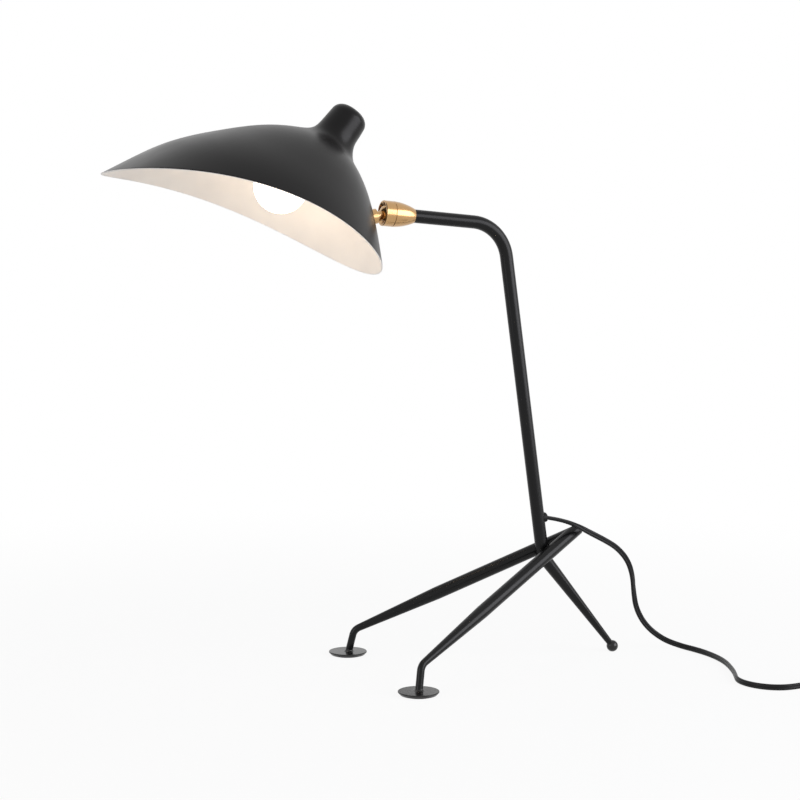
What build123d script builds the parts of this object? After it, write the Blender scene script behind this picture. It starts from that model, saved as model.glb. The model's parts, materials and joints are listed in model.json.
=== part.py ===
from build123d import *
import os
from math import acos, asin, cos, pi, radians, sin, sqrt, tan

# Adjustable desk lamp: three steel legs, a bent stem, a brass ball swivel and a sheet-metal shade.
# Millimetres, +Z up. The shade points to -X, and the XZ plane is the plane of symmetry.

# Fits
running_gap = 0.1        # between turning faces
seat_gap = 0.15          # between the ball and its socket
weld_gap = 0.1           # between round bars that are welded side by side
press_gap = 0.05         # between pieces pressed or screwed together

# Stand
tube_diameter = 11.6
tube_wall = 1.2
junction_x = 157.6       # where the stem and the rear leg are mitred
junction_z = 93.2
stem_lean = 8.0          # degrees from upright, towards the shade
stem_length = 299.2      # junction to elbow
arm_rise = 4.45          # degrees above level
arm_length = 107.6       # elbow to the centre of the swivel ball
bend_radius = 35.0
mitre_allowance = 12.0   # bar left beyond a joint before its mitre is cut
rear_foot_reach = 72.6   # from the junction back to the ball foot
rear_leg_end_diameter = 5.4
ball_foot_diameter = 10.5
ball_foot_height = 5.0   # centre above the surface, so the ball stands on a small flat
knee_x = 5.2
knee_y = 76.5
knee_z = 23.6
knee_diameter = 6.5
knee_bend = 10.0         # radius of the bent bar's axis
leg_straight_share = 0.62   # of the leg, before it tapers
apex_rise = 18.7         # of the V of the front legs, above the junction
apex_tail = 9.5          # trimmed end of the V, beyond its apex
foot_x = 0.8
foot_y = 81.0
foot_disc_diameter = 34.5
foot_disc_thickness = 3.0
foot_disc_undercut = 1.8
foot_edge_round = 0.5
foot_pad_diameter = 27.0
foot_pad_thickness = 0.6

# Flexes
cord_diameter = 5.2
bend_share = 0.45        # of the shorter run beside a bend
inner_flex_diameter = 4.8
inner_flex_play = 0.3    # between the flex and the bore that it lies in
grommet_height = 34.6    # along the stem, above the junction
grommet_diameter = 9.0
grommet_proud = 2.7
grommet_edge_round = 2.1
grommet_spigot_diameter = 6.9
cord_seat_depth = 2.5    # of the cord inside a grommet, switch or plug mouth
cord_route = [            # from the grommet down to the surface and along it, from the part's origin
    (172.7, -3.0, 125.9),
    (186.0, -10.0, 121.0),
    (200.0, -12.0, 113.2),
    (216.5, -9.5, 105.1),
    (231.3, -6.0, 96.7),
    (243.8, -3.0, 84.3),
    (250.2, -1.0, 70.0),
    (252.4, 0.5, 54.0),
    (256.3, 2.0, 37.0),
    (266.0, 1.0, 20.6),
    (280.3, -4.6, 8.2),
    (291.6, -17.5, 3.4),
    (298.0, -37.0, 2.8),
    (299.5, -60.0, 2.7),
    (295.5, -87.0, 2.7),
    (283.0, -118.0, 2.7),
    (274.8, -133.6, 2.7),
    (267.3, -146.9, 2.7),
    (266.2, -160.2, 2.7),
    (270.5, -172.8, 2.7),
    (279.5, -182.6, 2.7),
    (291.8, -188.0, 3.0),
]

# Ball swivel: distances along the arm are from the ball's centre, positive towards the shade
ball_diameter = 18.0
swivel_diameter = 22.0
collar_front = 6.9
collar_rear = -2.4
collar_lip = 4.5         # plane of the lip that keeps the ball in
collar_mouth_diameter = 19.4
collar_edge = 0.5
seam_edge = 0.3          # chamfer on both sides of the seam between collar and cup
spigot_length = 2.2      # of the cup inside the collar
spigot_diameter = 20.2
cup_rear = -22.0
cup_rear_diameter = 12.8
cup_waist = -11.8
cup_waist_diameter = 19.7
tube_stop = -14.0
seat_front = -4.5
seat_rear = -10.0
spring_thickness = 0.65
spring_dish = 0.45
wire_bore = 8.0

# Ball stud: distances along the stud are from the ball's centre
stud_droop = 10.0        # degrees below level, square to the shade's back wall
stud_neck_diameter = 8.0
stud_neck_length = 12.0
stud_flange_diameter = 13.0
stud_flange_start = 12.8
stud_flange_end = 19.5
stud_thread_diameter = 8.0
stud_bore = 4.4
washer_diameter = 22.0
inner_washer_diameter = 17.0
inner_washer_face = 24.4
nut_flats = 12.0
nut_thickness = 4.0
thread_tail = 1.0

# Shade: places are from the ball's centre, as (forward -X, up +Z)
shade_wall = 1.0
nipple_top = (-32.9, 85.05)
nipple_tilt = 37.8       # degrees from upright, leaning back
nipple_top_diameter = 32.4
nipple_base_diameter = 34.8
nipple_length = 23.1
nipple_round = 9.0
front_profile = [(-69.4, 71.3), (-89.7, 71.2), (-117.5, 71.2), (-154.3, 65.5), (-194.6, 55.0), (-243.8, 30.9)]
back_profile = [(-35.4, 44.4), (-31.9, 32.6), (-25.6, 16.4), (-20.7, -4.0), (-17.3, -26.3), (-14.5, -51.2)]
half_widths = [20.6, 33.1, 50.1, 69.5, 89.1, 110.4]
section_share = [0.10, 0.22, 0.38, 0.57, 0.78, 1.0]   # of the way from the nipple to the rim
blunt_front = 0.12       # how far the rim's front end is squarer than an ellipse
rim_sagitta = 21.5       # arch of the rim in the side view
rim_skirt = 4.0          # sheet left beyond the rim before it is trimmed
rim_trim = 40.0          # reach of the trimming cut
section_points = 24

# Lamp holder and bulb: distances along the holder are from the centre of the bulb's globe
bulb_place = (-97.8, 21.4)
holder_tilt = 46.0       # degrees from upright
globe_diameter = 45.0
glass_wall = 0.8
globe_neck_start = 18.0
glass_end = 28.0
glass_end_diameter = 13.0
cap_diameter = 13.9
cap_thread_end = 50.0
cap_tip_diameter = 4.8
cap_length = 27.5
skirt_start = 29.0
skirt_diameter = 22.0
sleeve_start = 32.0
sleeve_wall = 0.85
holder_base_start = 57.0
holder_base_length = 19.5
bracket_thickness = 1.5
lead_diameter = 3.6
lead_bend = 12.0         # straight out of the stud before the flex turns up
lead_straight = 8.0      # straight into the holder
lead_route = [(-48.5, 8.0), (-51.0, 27.0)]   # from the ball's centre

# In-line switch, on the surface that the lamp stands on
switch_x = 328.0         # end nearest to the lamp
switch_y = -188.0
switch_lead = 16.0       # of straight cord before it
switch_length = 50.0
switch_width = 22.0
switch_height = 14.0
switch_wall = 1.5
switch_corner = 4.0
switch_channel = 11.4    # width of the space inside
switch_window = 22.4
rocker_end_gap = 0.8
rocker_end_rise = 4.4
rocker_waist_rise = 3.2
rocker_drop = 1.5
rocker_axis_height = 10.5
rocker_angle = 8.0       # to each side; it lies switched on
rocker_side_gap = 0.3
pivot_diameter = 2.0
pivot_seat = 2.8         # in each side wall
contact_size = (20.0, 4.0, 0.8)
contact_height = 4.8
screw_diameter = 2.4
screw_head_diameter = 4.0
screw_head_height = 1.4
screw_length = 9.0
screw_recess = 0.4
screw_spread = 14.0

# Cord put away in a coil: two layers, wound in and out again
coil_lead = 34.0         # straight from the switch to the first turn
coil_outer_radius = 38.0
coil_gap = 0.5           # between turns
coil_turns = 3           # in each layer
coil_tail = 30.0
tie_thickness = 0.8
tie_width = 8.0
tie_play = 0.5
plug_relief_length = 22.0
plug_relief_tip = 8.4
plug_relief_root = 13.0
plug_length = 34.0
plug_width = 26.0
plug_thickness = 18.4
plug_clearance = 0.4     # above the surface
plug_edge = 4.0
pin_diameter = 4.0
pin_length = 19.0
pin_spacing = 18.6
pin_seat = 6.0

os.makedirs("parts", exist_ok=True)


def finish(builder, name):
    builder.part.label = name
    export_step(builder.part, f"parts/{name}.step")


def in_plane(angle_from_up, backwards=1):
    """Unit direction in the XZ plane, leaning back (+X) or forward (-X) from upright."""
    angle = radians(angle_from_up)
    return Vector(backwards * sin(angle), 0, cos(angle))


# Stand: axes and joints
tube_radius = tube_diameter / 2
bore_radius = tube_radius - tube_wall
junction = Vector(junction_x, 0, junction_z)
stem_up = in_plane(stem_lean, -1)
arm_out = in_plane(90 - arm_rise, -1)
elbow = junction + stem_up * stem_length
ball_centre = elbow + arm_out * arm_length
rear_foot = Vector(junction_x + rear_foot_reach, 0, ball_foot_height)
rear_down = (rear_foot - junction).normalized()
mitre_plane = Plane(junction, z_dir=stem_up - rear_down)

swivel_plane = Plane(ball_centre, x_dir=arm_out, z_dir=(0, 1, 0))
swivel_axis = Axis(ball_centre, arm_out)
stud_out = in_plane(90 + stud_droop, -1)
stud_plane = Plane(ball_centre, x_dir=stud_out, z_dir=(0, 1, 0))
stud_axis = Axis(ball_centre, stud_out)

# Cord outlet in the back of the stem
outlet_axis_point = junction + stem_up * grommet_height
outlet_out = in_plane(90 - stem_lean)
outlet_plane = Plane(outlet_axis_point, z_dir=outlet_out, x_dir=(0, 1, 0))
grommet_face = tube_radius + grommet_proud
cord_seat = outlet_axis_point + outlet_out * (grommet_face - cord_seat_depth)
cord_out = (Vector(cord_route[0]) - cord_seat).normalized()

with BuildPart() as stem_tube:
    with BuildLine():
        FilletPolyline(
            junction - stem_up * mitre_allowance,
            elbow,
            ball_centre + arm_out * tube_stop,
            radius=bend_radius,
        )
    with BuildSketch(Plane(junction - stem_up * mitre_allowance, z_dir=stem_up)):
        Circle(tube_radius)
        Circle(bore_radius, mode=Mode.SUBTRACT)
    sweep()
    split(bisect_by=mitre_plane)
    with BuildSketch(outlet_plane):
        Circle(grommet_spigot_diameter / 2 + press_gap)
    extrude(amount=tube_diameter, mode=Mode.SUBTRACT)
finish(stem_tube, "stem_tube")

# Flex inside the stem: it lies along the outer side of the bend
flex_offset = bore_radius - inner_flex_diameter / 2 - inner_flex_play
stem_back = in_plane(90 - stem_lean)
arm_top = in_plane(arm_rise)
bend_turn = (90 - stem_lean - arm_rise) / 2
flex_corner = elbow + (stem_back + arm_top).normalized() * (flex_offset / cos(radians(bend_turn)))
flex_start = junction + stem_up * (grommet_height + grommet_diameter) + stem_back * flex_offset
with BuildPart() as inner_flex:
    with BuildLine():
        FilletPolyline(
            flex_start,
            flex_corner,
            ball_centre + arm_out * tube_stop + arm_top * flex_offset,
            radius=bend_radius + flex_offset,
        )
    with BuildSketch(Plane(flex_start, z_dir=stem_up)):
        Circle(inner_flex_diameter / 2)
    sweep()
finish(inner_flex, "inner_flex")

with BuildPart() as rear_leg:
    with Locations(Plane(junction - rear_down * mitre_allowance, z_dir=rear_down)):
        Cylinder(tube_radius, mitre_allowance, align=(Align.CENTER, Align.CENTER, Align.MIN))
    with Locations(Plane(junction, z_dir=rear_down)):
        Cone(
            tube_radius,
            rear_leg_end_diameter / 2,
            (rear_foot - junction).length,
            align=(Align.CENTER, Align.CENTER, Align.MIN),
        )
    split(bisect_by=mitre_plane, keep=Keep.BOTTOM)
finish(rear_leg, "rear_leg")

with BuildPart() as ball_foot:
    with Locations(rear_foot):
        Sphere(ball_foot_diameter / 2)
    split(bisect_by=Plane.XY)
    add(rear_leg.part, mode=Mode.SUBTRACT)
finish(ball_foot, "ball_foot")

# Front legs: a V whose bars pass the stem on both sides and are welded to it
knee_middle = Vector(knee_x, 0, knee_z)
apex_z = junction_z + apex_rise


def side_gap(apex_x):
    """Distance between the axes of the stem and of a leg whose apex lies at apex_x."""
    leg = (Vector(knee_x, knee_y, knee_z) - Vector(apex_x, 0, apex_z)).normalized()
    across = leg.cross(stem_up).normalized()
    return abs((Vector(apex_x, 0, apex_z) - junction).dot(across))


apex_low = junction_x
apex_high = junction_x + rear_foot_reach
for _ in range(40):
    apex_x = (apex_low + apex_high) / 2
    if side_gap(apex_x) < tube_diameter + weld_gap:
        apex_low = apex_x
    else:
        apex_high = apex_x
apex = Vector(apex_x, 0, apex_z)
tail_out = (apex - knee_middle).normalized()
foot_top = foot_pad_thickness + foot_disc_thickness

for side_name, side, half in (("left", -1, Keep.TOP), ("right", 1, Keep.BOTTOM)):
    knee = Vector(knee_x, side * knee_y, knee_z)
    foot = Vector(foot_x, side * foot_y, 0)
    leg_down = (knee - apex).normalized()
    leg_length = (knee - apex).length
    straight = leg_length * leg_straight_share
    ankle_down = (foot - knee).normalized()
    bend_run = knee_bend * tan(radians(leg_down.get_angle(ankle_down)) / 2)
    bend_start = knee - leg_down * bend_run
    bend_end = knee + ankle_down * bend_run
    with BuildPart() as leg:
        with Locations(Plane(apex - leg_down * 2 * mitre_allowance, z_dir=leg_down)):
            Cylinder(
                tube_radius,
                straight + 2 * mitre_allowance,
                align=(Align.CENTER, Align.CENTER, Align.MIN),
            )
        with Locations(Plane(apex + leg_down * straight, z_dir=leg_down)):
            Cone(
                tube_radius,
                knee_diameter / 2,
                leg_length - straight - bend_run,
                align=(Align.CENTER, Align.CENTER, Align.MIN),
            )
        with BuildLine() as ankle_path:
            TangentArc(bend_start, bend_end, tangent=leg_down)
            Line(bend_end, foot + ankle_down * knee_diameter)
        with BuildSketch(Plane(bend_start, z_dir=leg_down)):
            Circle(knee_diameter / 2)
        sweep(path=ankle_path.wires()[0])
        split(bisect_by=Plane.XZ, keep=half)
        split(bisect_by=Plane(apex + tail_out * apex_tail, z_dir=tail_out), keep=Keep.BOTTOM)
        split(bisect_by=Plane.XY.offset(foot_top))
    finish(leg, f"{side_name}_leg")

    with BuildPart(Plane((foot_x, side * foot_y, foot_pad_thickness))) as foot_disc:
        Cylinder(
            foot_disc_diameter / 2,
            foot_disc_thickness,
            align=(Align.CENTER, Align.CENTER, Align.MIN),
        )
        chamfer(
            foot_disc.faces().sort_by(Axis.Z)[0].edges(),
            length=foot_disc_thickness - 2 * foot_edge_round,
            length2=foot_disc_undercut,
        )
        fillet(foot_disc.faces().sort_by(Axis.Z)[-1].edges(), foot_edge_round)
    finish(foot_disc, f"{side_name}_foot_disc")

    with BuildPart(Plane((foot_x, side * foot_y, 0))) as foot_pad:
        Cylinder(
            foot_pad_diameter / 2,
            foot_pad_thickness,
            align=(Align.CENTER, Align.CENTER, Align.MIN),
        )
    finish(foot_pad, f"{side_name}_foot_pad")

with BuildPart() as cord_grommet:
    with BuildSketch(outlet_plane):
        Circle(grommet_diameter / 2)
    extrude(amount=grommet_face)
    fillet(cord_grommet.edges().group_by(Axis(outlet_axis_point, outlet_out))[-1], grommet_edge_round)
    with Locations(Plane(outlet_axis_point - stem_up * grommet_diameter, z_dir=stem_up)):
        Cylinder(
            tube_radius + press_gap,
            2 * grommet_diameter,
            align=(Align.CENTER, Align.CENTER, Align.MIN),
            mode=Mode.SUBTRACT,
        )
    with BuildSketch(outlet_plane.offset(bore_radius)):
        Circle(grommet_spigot_diameter / 2)
    extrude(amount=tube_wall + grommet_proud / 2)
    with BuildSketch(Plane(cord_seat, z_dir=cord_out)):
        Circle(cord_diameter / 2 + press_gap)
    extrude(amount=grommet_diameter, mode=Mode.SUBTRACT)
finish(cord_grommet, "cord_grommet")

# Swivel: cup on the end of the arm, screwed collar, friction seat, spring and ball stud
ball_radius = ball_diameter / 2
swivel_radius = swivel_diameter / 2
socket_radius = ball_radius + seat_gap
lip_radius = sqrt(socket_radius**2 - collar_lip**2)
lip_turn = asin(collar_lip / socket_radius) / 2
spigot_front = collar_rear + spigot_length
wire_radius = wire_bore / 2
spring_rear = seat_rear - spring_thickness - spring_dish - 2 * press_gap

with BuildPart() as swivel_cup:
    with BuildSketch(swivel_plane):
        with BuildLine():
            Polyline(
                (cup_rear, cup_rear_diameter / 2),
                (cup_rear, tube_radius + press_gap),
                (tube_stop + press_gap, tube_radius + press_gap),
                (tube_stop + press_gap, wire_radius),
                (spring_rear, wire_radius),
                (spring_rear, socket_radius),
                (spigot_front, socket_radius),
                (spigot_front, spigot_diameter / 2),
                (collar_rear, spigot_diameter / 2),
                (collar_rear, swivel_radius - seam_edge),
                (collar_rear - seam_edge, swivel_radius),
            )
            ThreePointArc(
                (collar_rear - seam_edge, swivel_radius),
                (cup_waist, cup_waist_diameter / 2),
                (cup_rear, cup_rear_diameter / 2),
            )
        make_face()
    revolve(axis=swivel_axis)
finish(swivel_cup, "swivel_cup")

spigot_room = spigot_diameter / 2 + press_gap
with BuildPart() as swivel_collar:
    with BuildSketch(swivel_plane):
        with BuildLine():
            Polyline(
                (0, socket_radius),
                (spigot_front + press_gap, socket_radius),
                (spigot_front + press_gap, spigot_room),
                (collar_rear, spigot_room),
                (collar_rear, swivel_radius - seam_edge),
                (collar_rear + seam_edge, swivel_radius),
                (collar_front - collar_edge, swivel_radius),
                (collar_front, swivel_radius - collar_edge),
                (collar_front, collar_mouth_diameter / 2),
                (collar_lip, lip_radius),
            )
            ThreePointArc(
                (collar_lip, lip_radius),
                (socket_radius * sin(lip_turn), socket_radius * cos(lip_turn)),
                (0, socket_radius),
            )
        make_face()
    revolve(axis=swivel_axis)
finish(swivel_collar, "swivel_collar")

seat_outer = socket_radius - running_gap
seat_turn = (asin(wire_radius / socket_radius) + acos(-seat_front / socket_radius)) / 2
with BuildPart() as ball_seat:
    with BuildSketch(swivel_plane):
        with BuildLine():
            Polyline(
                (-sqrt(socket_radius**2 - wire_radius**2), wire_radius),
                (seat_rear, wire_radius),
                (seat_rear, seat_outer),
                (seat_front, seat_outer),
                (seat_front, sqrt(socket_radius**2 - seat_front**2)),
            )
            ThreePointArc(
                (seat_front, sqrt(socket_radius**2 - seat_front**2)),
                (-socket_radius * cos(seat_turn), socket_radius * sin(seat_turn)),
                (-sqrt(socket_radius**2 - wire_radius**2), wire_radius),
            )
        make_face()
    revolve(axis=swivel_axis)
finish(ball_seat, "ball_seat")

spring_front = seat_rear - press_gap
with BuildPart() as seat_spring:
    with BuildSketch(swivel_plane):
        with BuildLine():
            Polyline(
                (spring_front, wire_radius + running_gap),
                (spring_front - spring_dish, seat_outer - running_gap),
                (spring_front - spring_dish - spring_thickness, seat_outer - running_gap),
                (spring_front - spring_thickness, wire_radius + running_gap),
                close=True,
            )
        make_face()
    revolve(axis=swivel_axis)
finish(seat_spring, "seat_spring")

stud_neck_radius = stud_neck_diameter / 2
thread_radius = stud_thread_diameter / 2
nut_start = inner_washer_face + running_gap
thread_end = nut_start + nut_thickness + thread_tail
bore_start = -sqrt(ball_radius**2 - (stud_bore / 2) ** 2)
neck_root = sqrt(ball_radius**2 - stud_neck_radius**2)
with BuildPart() as ball_stud:
    with BuildSketch(stud_plane):
        with BuildLine():
            ThreePointArc((bore_start, stud_bore / 2), (0, ball_radius), (neck_root, stud_neck_radius))
            Polyline(
                (neck_root, stud_neck_radius),
                (stud_neck_length, stud_neck_radius),
                (stud_flange_start, stud_flange_diameter / 2),
                (stud_flange_end, stud_flange_diameter / 2),
                (stud_flange_end, thread_radius),
                (thread_end, thread_radius),
                (thread_end, stud_bore / 2),
                (bore_start, stud_bore / 2),
            )
        make_face()
    revolve(axis=stud_axis)
finish(ball_stud, "ball_stud")

with BuildPart() as stud_nut:
    with BuildSketch(Plane(ball_centre + stud_out * nut_start, z_dir=stud_out)):
        RegularPolygon(nut_flats / 2, 6, major_radius=False)
        Circle(thread_radius + press_gap, mode=Mode.SUBTRACT)
    extrude(amount=nut_thickness)
finish(stud_nut, "stud_nut")

# Shade: a family of egg-shaped sections, each square to the plane of symmetry
nipple_up = in_plane(nipple_tilt)
nipple_front = in_plane(90 - nipple_tilt, -1)
nipple_crown = ball_centre + Vector(nipple_top[0], 0, nipple_top[1])


def place(offset):
    return ball_centre + Vector(offset[0], 0, offset[1])


def nipple_ring(depth, radius):
    """Front point, back point and half width of a round section of the nipple."""
    middle = nipple_crown - nipple_up * depth
    return middle + nipple_front * radius, middle - nipple_front * radius, radius


def shade_stations(inset):
    """Sections from the crown to beyond the rim, moved inwards from the outer face by inset."""
    base_radius = nipple_base_diameter / 2
    front_points = [nipple_ring(nipple_length, base_radius)[0]] + [place(p) for p in front_profile]
    back_points = [nipple_ring(nipple_length, base_radius)[1]] + [place(p) for p in back_profile]
    widths = [base_radius] + half_widths
    side_points = []
    for front, back, width in zip(front_points, back_points, widths):
        middle = (front + back) * 0.5
        side_points.append(Vector(middle.X, width, middle.Z))
    front_curve = Edge.make_spline(front_points)
    back_curve = Edge.make_spline(back_points)
    side_curve = Edge.make_spline(side_points)
    stations = []
    for front, back, side in zip(front_points, back_points, side_points):
        along_front = front_curve.tangent_at(front)
        along_back = back_curve.tangent_at(back)
        along_side = side_curve.tangent_at(side)
        across = (back - front).normalized()
        front_in = front + along_front.cross(Vector(0, 1, 0)) * inset
        back_in = back + along_back.cross(Vector(0, 1, 0)) * -inset
        side_in = side + along_side.cross(across).normalized() * inset
        stations.append((front_in, back_in, side_in.Y))
    end_front = stations[-1][0] + front_curve.tangent_at(front_points[-1]) * rim_skirt
    end_back = stations[-1][1] + back_curve.tangent_at(back_points[-1]) * rim_skirt
    end_width = stations[-1][2] + side_curve.tangent_at(side_points[-1]).Y * rim_skirt
    crown_radius = nipple_top_diameter / 2
    corner = nipple_round - inset
    rings = []
    for turn in (0, 30, 60, 90):
        ring_radius = crown_radius - nipple_round + corner * sin(radians(turn))
        rings.append(nipple_ring(nipple_round - corner * cos(radians(turn)), ring_radius))
    shares = [0] * (len(rings) + 1) + section_share + [section_share[-1]]
    return list(zip(rings + stations + [(end_front, end_back, end_width)], shares))


def shade_solid(inset):
    with BuildPart() as solid:
        for (front, back, width), share in shade_stations(inset):
            across = (back - front).normalized()
            length = (back - front).length
            outline = []
            for step in range(section_points):
                turn = 2 * pi * step / section_points
                along = (1 - cos(turn)) / 2
                swell = along ** (-blunt_front * share) if step else 0
                outline.append((length * along, width * sin(turn) * swell))
            with BuildSketch(Plane(front, x_dir=across, z_dir=across.cross(Vector(0, 1, 0)))):
                with BuildLine():
                    Spline(*outline, periodic=True)
                make_face()
        loft()
    return solid.part


shade_outside = shade_solid(0)
shade_inside = shade_solid(shade_wall)
rim_tip = place(front_profile[-1])
rim_back = place(back_profile[-1])
rim_chord = rim_back - rim_tip
rim_up = rim_chord.normalized().cross(Vector(0, 1, 0))
rim_middle = (rim_tip + rim_back) * 0.5 + rim_up * rim_sagitta
with BuildPart() as rim_cutter:
    with BuildSketch(Plane.XZ):
        with BuildLine():
            rim_arc = ThreePointArc(
                (rim_tip.X, rim_tip.Z), (rim_middle.X, rim_middle.Z), (rim_back.X, rim_back.Z)
            )
            start = rim_arc @ 0 - (rim_arc % 0) * rim_trim
            end = rim_arc @ 1 + (rim_arc % 1) * rim_trim
            Line(start, rim_arc @ 0)
            below = end.Y - 2 * rim_trim
            Polyline(rim_arc @ 1, end, (end.X, below), (start.X, below), start)
        make_face()
    extrude(amount=2 * max(half_widths), both=True)

stud_hole_radius = thread_radius + running_gap
with BuildPart() as shade:
    add(shade_outside)
    add(shade_inside, mode=Mode.SUBTRACT)
    add(rim_cutter.part, mode=Mode.SUBTRACT)
    with BuildSketch(Plane(ball_centre, z_dir=stud_out)):
        Circle(stud_hole_radius)
    extrude(amount=thread_end, mode=Mode.SUBTRACT)
finish(shade, "shade")

washer_face = stud_flange_end + running_gap
with BuildPart() as outer_washer:
    with BuildSketch(Plane(ball_centre + stud_out * washer_face, z_dir=stud_out)):
        Circle(washer_diameter / 2)
        Circle(stud_hole_radius, mode=Mode.SUBTRACT)
    extrude(amount=inner_washer_face - washer_face)
    add(shade_outside, mode=Mode.SUBTRACT)
finish(outer_washer, "outer_washer")

with BuildPart() as inner_washer:
    with BuildSketch(Plane(ball_centre + stud_out * washer_face, z_dir=stud_out)):
        Circle(inner_washer_diameter / 2)
        Circle(stud_hole_radius, mode=Mode.SUBTRACT)
    extrude(amount=inner_washer_face - washer_face)
    add(shade_inside, mode=Mode.INTERSECT)
finish(inner_washer, "inner_washer")

# Lamp holder on a plate inside the nipple, and a golf-ball bulb
bulb_centre = place(bulb_place)
holder_up = in_plane(holder_tilt)
holder_plane = Plane(bulb_centre, x_dir=holder_up, z_dir=(0, 1, 0))
holder_axis = Axis(bulb_centre, holder_up)
holder_side = holder_plane.y_dir
holder_end = holder_base_start + holder_base_length
skirt_radius = skirt_diameter / 2
globe_radius = globe_diameter / 2
neck_radius = sqrt(globe_radius**2 - globe_neck_start**2)
cap_radius = cap_diameter / 2
cap_tip = glass_end + cap_length
sleeve_radius = cap_radius + running_gap

with BuildPart() as bulb_glass:
    with BuildSketch(holder_plane):
        with BuildLine():
            Line((-globe_radius, 0), (-globe_radius + glass_wall, 0))
            inner_radius = globe_radius - glass_wall
            inner_neck = sqrt(inner_radius**2 - globe_neck_start**2)
            ThreePointArc((-inner_radius, 0), (0, inner_radius), (globe_neck_start, inner_neck))
            Polyline(
                (globe_neck_start, inner_neck),
                (glass_end, glass_end_diameter / 2 - glass_wall),
                (glass_end, glass_end_diameter / 2),
                (globe_neck_start, neck_radius),
            )
            ThreePointArc((globe_neck_start, neck_radius), (0, globe_radius), (-globe_radius, 0))
        make_face()
    revolve(axis=holder_axis)
finish(bulb_glass, "bulb_glass")

with BuildPart() as bulb_cap:
    with BuildSketch(holder_plane):
        with BuildLine():
            Polyline(
                (glass_end, 0),
                (glass_end, cap_radius),
                (cap_thread_end, cap_radius),
                (cap_tip - press_gap, cap_tip_diameter / 2),
                (cap_tip, cap_tip_diameter / 2),
                (cap_tip, 0),
                close=True,
            )
        make_face()
    revolve(axis=holder_axis)
finish(bulb_cap, "bulb_cap")

with BuildPart() as holder_sleeve:
    with BuildSketch(Plane(bulb_centre + holder_up * sleeve_start, z_dir=holder_up)):
        Circle(sleeve_radius + sleeve_wall)
        Circle(sleeve_radius, mode=Mode.SUBTRACT)
    extrude(amount=holder_base_start - sleeve_start)
finish(holder_sleeve, "holder_sleeve")

with BuildPart() as holder_skirt:
    with BuildSketch(Plane(bulb_centre + holder_up * skirt_start, z_dir=holder_up)):
        Circle(skirt_radius)
        Circle(sleeve_radius + sleeve_wall + press_gap, mode=Mode.SUBTRACT)
    extrude(amount=holder_base_start - skirt_start)
finish(holder_skirt, "holder_skirt")

with BuildPart() as holder_contact:
    with BuildSketch(Plane(bulb_centre + holder_up * (cap_tip + press_gap), z_dir=holder_up)):
        Circle(cap_tip_diameter / 2)
    extrude(amount=holder_base_start - cap_tip - press_gap)
finish(holder_contact, "holder_contact")

with BuildPart() as holder_base:
    with BuildSketch(Plane(bulb_centre + holder_up * holder_base_start, z_dir=holder_up)):
        Circle(skirt_radius)
    extrude(amount=holder_base_length)
finish(holder_base, "holder_base")

with BuildPart() as holder_plate:
    with BuildSketch(Plane(bulb_centre + holder_up * holder_end, z_dir=holder_up)):
        Circle(nipple_base_diameter / 2 + shade_wall)
    extrude(amount=bracket_thickness)
    add(shade_inside, mode=Mode.INTERSECT)
finish(holder_plate, "holder_plate")

# Flex inside the shade, from the hollow stud to the side of the holder
lead_entry = bulb_centre + holder_up * (holder_base_start + lead_diameter)
lead_end = lead_entry + holder_side * (skirt_radius + press_gap)
lead_points = [
    ball_centre + stud_out * (thread_end + press_gap),
    ball_centre + stud_out * (thread_end + lead_bend),
    *[place(point) for point in lead_route],
    lead_end + holder_side * lead_straight,
    lead_end,
]


def tube_radii(points):
    """Largest arc at each corner: a share of the shorter run, over the tangent of half the turn."""
    radii = []
    for before, corner, after in zip(points, points[1:], points[2:]):
        turn = (corner - before).get_angle(after - corner)
        shorter = min((corner - before).length, (after - corner).length)
        radii.append(bend_share * shorter / tan(radians(turn / 2)))
    return radii


def report_tube(name, builder, path, diameter):
    """Prints a tube's volume over its section times its length."""
    length = path.wires()[0].length
    ratio = builder.part.volume / (pi * diameter**2 / 4 * length)
    print(name, "length", round(length, 1), "volume ratio", round(ratio, 4))


with BuildPart() as shade_lead:
    with BuildLine() as shade_lead_path:
        FilletPolyline(*lead_points, radius=tube_radii(lead_points))
    with BuildSketch(Plane(lead_points[0], z_dir=stud_out)):
        Circle(lead_diameter / 2)
    sweep()
finish(shade_lead, "shade_lead")
report_tube("shade_lead", shade_lead, shade_lead_path.line, lead_diameter)

# Heights of the coil's layers: a tie passes under it, and the plug lies beside it
coil_height = tie_thickness + tie_play + cord_diameter / 2
coil_top_height = max(coil_height + cord_diameter + coil_gap, plug_thickness / 2 + plug_clearance)
coil_layer_step = coil_top_height - coil_height

# Free cord from the grommet to the switch: over the back of the legs, down and along the surface
cord_radius = cord_diameter / 2
switch_mouth = Vector(switch_x + cord_seat_depth, switch_y, coil_height)
switch_run_in = Vector(switch_x - switch_lead, switch_y, coil_height)
cord_points = [cord_seat] + [Vector(*point) for point in cord_route] + [switch_run_in, switch_mouth]
cord_radii = tube_radii(cord_points)
print("cord radii", [round(radius) for radius in cord_radii])
with BuildPart() as cord_lead:
    with BuildLine() as cord_path:
        FilletPolyline(*cord_points, radius=cord_radii)
    with BuildSketch(Plane(cord_seat, z_dir=cord_out)):
        Circle(cord_radius)
    sweep()
finish(cord_lead, "cord_lead")
report_tube("cord_lead", cord_lead, cord_path.line, cord_diameter)

# In-line switch: two shells, rocker on a pin, contact leaf and two screws
switch_middle = switch_x + switch_length / 2
switch_end = switch_x + switch_length
parting = switch_height / 2
cord_room = cord_radius + press_gap
screw_y = (switch_width + switch_channel) / 4
rocker_length = switch_window - 2 * rocker_end_gap
pivot_length = switch_channel + 2 * pivot_seat
screw_places = [
    (switch_middle - screw_spread, switch_y + screw_y),
    (switch_middle + screw_spread, switch_y - screw_y),
]
cavity_length = switch_length - 2 * (switch_wall + 2 * cord_seat_depth)


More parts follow.
